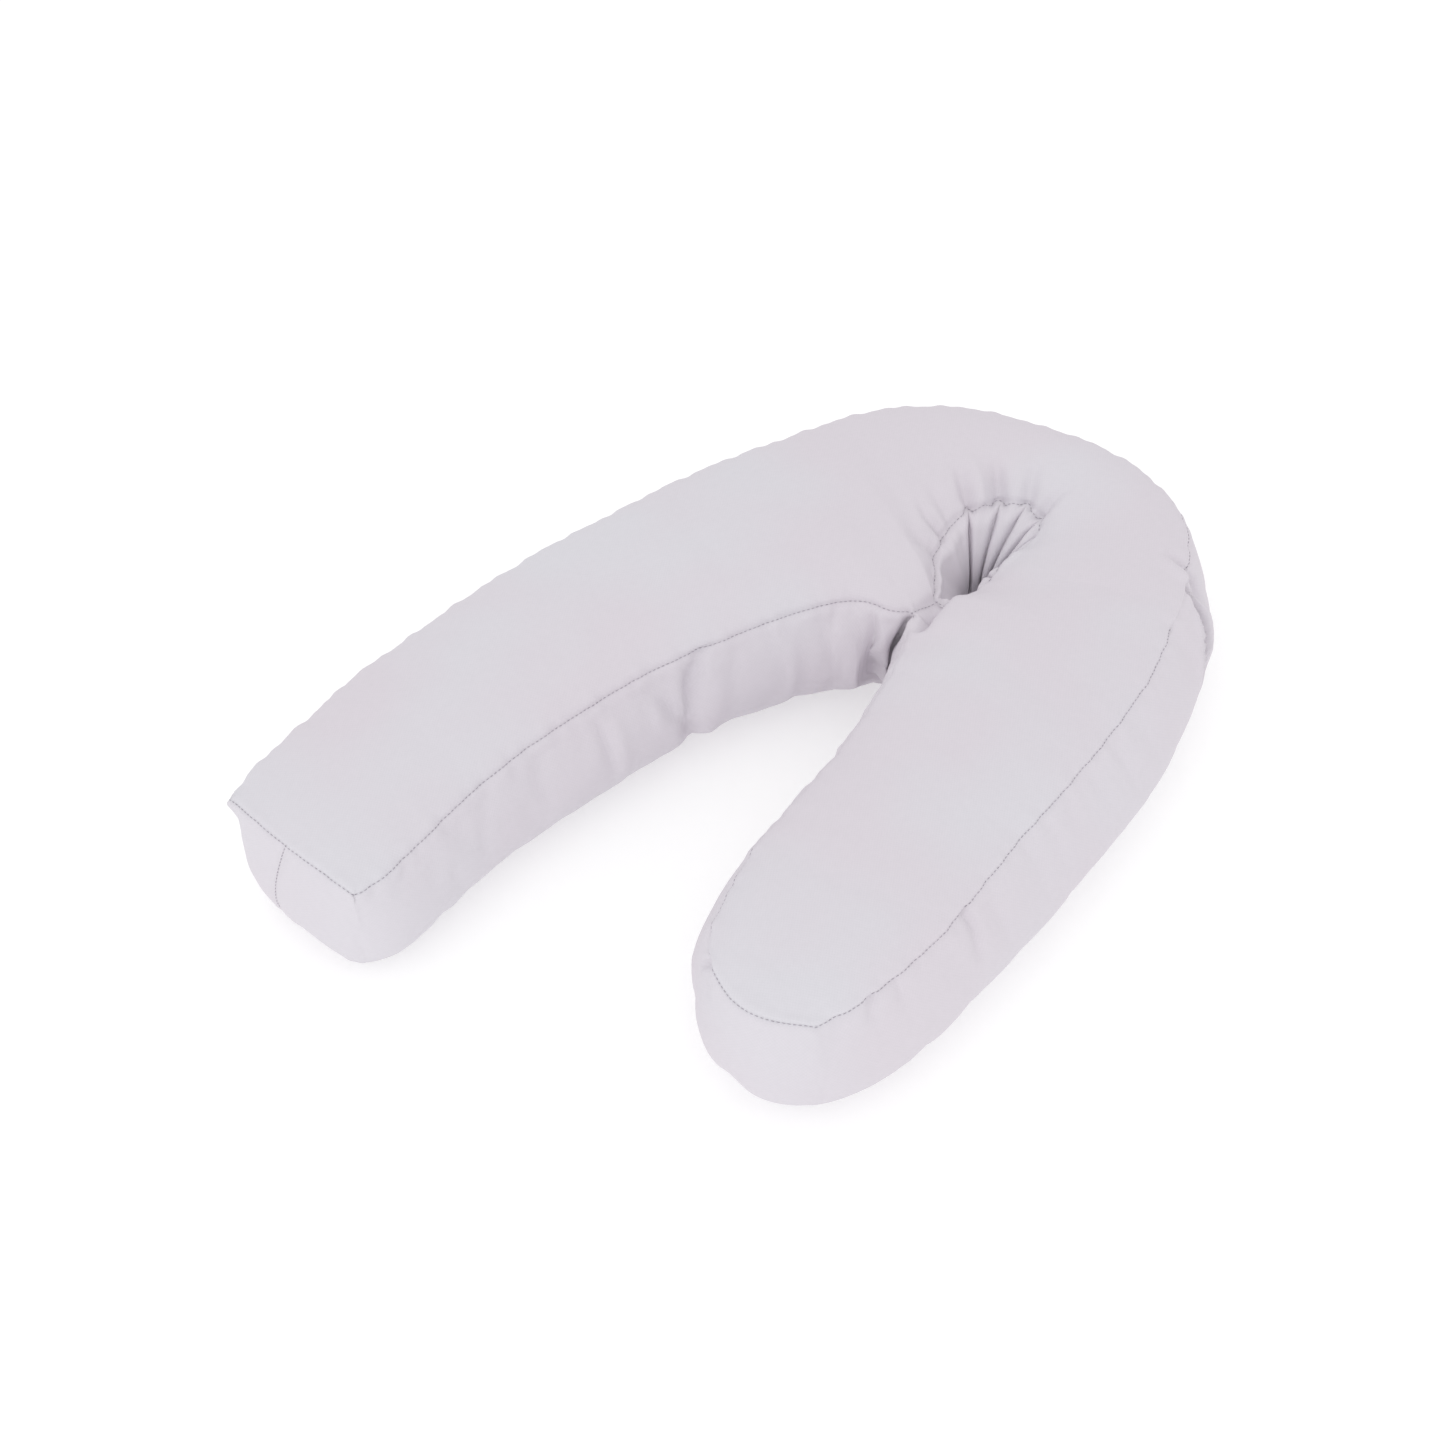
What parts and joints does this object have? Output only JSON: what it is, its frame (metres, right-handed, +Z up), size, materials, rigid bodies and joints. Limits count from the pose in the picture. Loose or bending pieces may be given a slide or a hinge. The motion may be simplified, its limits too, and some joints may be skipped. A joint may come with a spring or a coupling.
{
  "type": "body pillow",
  "caption": "Filled U-shaped body pillow for side sleepers, with one square and one round arm, boxed sides and an ear hole in the bend.",
  "frame": {"origin": "middle of the footprint, on the surface the pillow lies on", "axes": "+Z up, out of the top panel; +X from the open ends of the two arms towards the bend; the long arm lies on the +Y side"},
  "size_m": [0.6904, 0.4718, 0.1101],
  "materials": {
    "cloth": "plain woven cotton, matt, pale grey with a touch of lilac"
  },
  "bodies": {
    "root": {"pillow": "cloth"}
  },
  "joints": []
}
